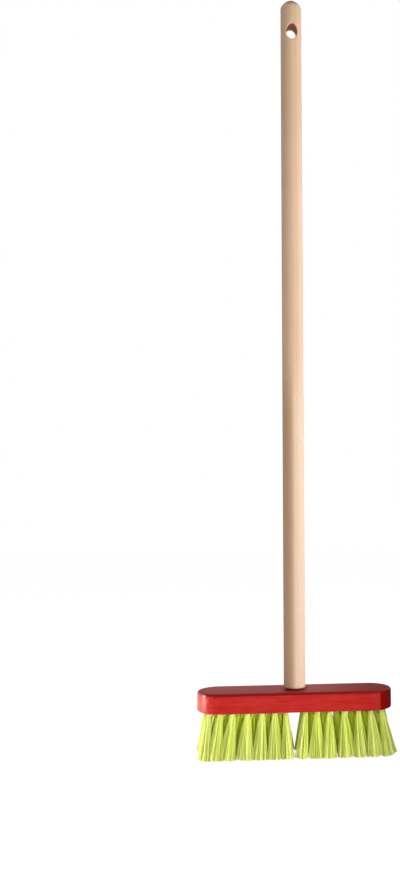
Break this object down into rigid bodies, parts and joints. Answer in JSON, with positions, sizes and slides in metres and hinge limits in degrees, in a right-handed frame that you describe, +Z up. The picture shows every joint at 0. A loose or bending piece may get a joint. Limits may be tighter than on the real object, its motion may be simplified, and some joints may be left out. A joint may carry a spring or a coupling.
{
  "type": "childrens broom",
  "caption": "Small push broom for a child: a round wooden stick with a hang hole, set upright in a painted wooden block of flared bristle tufts.",
  "frame": {"origin": "on the floor under the middle of the block, where the bristle tips stand", "axes": "+X along the block, +Y from the front of the broom to its back, +Z up along the stick"},
  "size_m": [0.2026, 0.046, 0.7827],
  "materials": {
    "beech": "fine sanded, unlacquered",
    "red_paint": "gloss red paint over wood",
    "lime_bristle": "drawn plastic filament, satin"
  },
  "bodies": {
    "root": {"block": "red_paint", "handle": "beech", "tuft_front_01": "lime_bristle", "tuft_front_02": "lime_bristle", "tuft_front_03": "lime_bristle", "tuft_front_04": "lime_bristle", "tuft_front_05": "lime_bristle", "tuft_front_06": "lime_bristle", "tuft_front_07": "lime_bristle", "tuft_front_08": "lime_bristle", "tuft_front_09": "lime_bristle", "tuft_front_10": "lime_bristle", "tuft_front_11": "lime_bristle", "tuft_front_12": "lime_bristle", "tuft_front_13": "lime_bristle", "tuft_front_14": "lime_bristle", "tuft_middle_01": "lime_bristle", "tuft_middle_02": "lime_bristle", "tuft_middle_03": "lime_bristle", "tuft_middle_04": "lime_bristle", "tuft_middle_05": "lime_bristle", "tuft_middle_06": "lime_bristle", "tuft_middle_07": "lime_bristle", "tuft_middle_08": "lime_bristle", "tuft_middle_09": "lime_bristle", "tuft_middle_10": "lime_bristle", "tuft_middle_11": "lime_bristle", "tuft_middle_12": "lime_bristle", "tuft_middle_13": "lime_bristle", "tuft_middle_14": "lime_bristle", "tuft_back_01": "lime_bristle", "tuft_back_02": "lime_bristle", "tuft_back_03": "lime_bristle", "tuft_back_04": "lime_bristle", "tuft_back_05": "lime_bristle", "tuft_back_06": "lime_bristle", "tuft_back_07": "lime_bristle", "tuft_back_08": "lime_bristle", "tuft_back_09": "lime_bristle", "tuft_back_10": "lime_bristle", "tuft_back_11": "lime_bristle", "tuft_back_12": "lime_bristle", "tuft_back_13": "lime_bristle", "tuft_back_14": "lime_bristle"}
  },
  "joints": []
}
